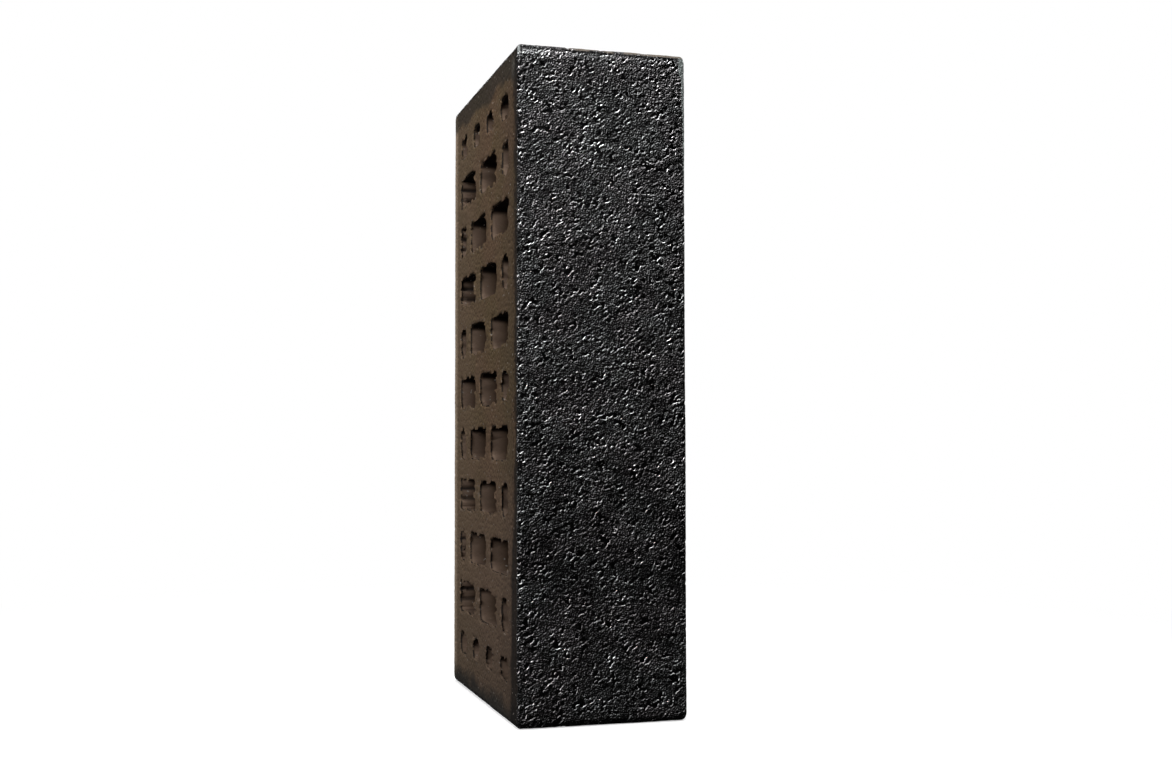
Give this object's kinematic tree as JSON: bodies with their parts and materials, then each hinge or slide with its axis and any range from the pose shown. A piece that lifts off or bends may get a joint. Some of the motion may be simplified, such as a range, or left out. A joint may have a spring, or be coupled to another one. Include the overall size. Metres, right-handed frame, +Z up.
{
  "type": "perforated facing brick",
  "caption": "Perforated clay facing brick with a rough near-black face and a brown clay body, standing on one end.",
  "frame": {"origin": "middle of the end face that the brick stands on", "axes": "+Z up the brick's length, +X through the holes from the shown bed face to the hidden one, +Y from the dark front stretcher to the back one"},
  "size_m": [0.065, 0.12, 0.25],
  "materials": {
    "fired_clay": "matt fired clay with a rough near-black facing on the front stretcher and both ends"
  },
  "bodies": {
    "root": {"brick": "fired_clay"}
  },
  "joints": []
}
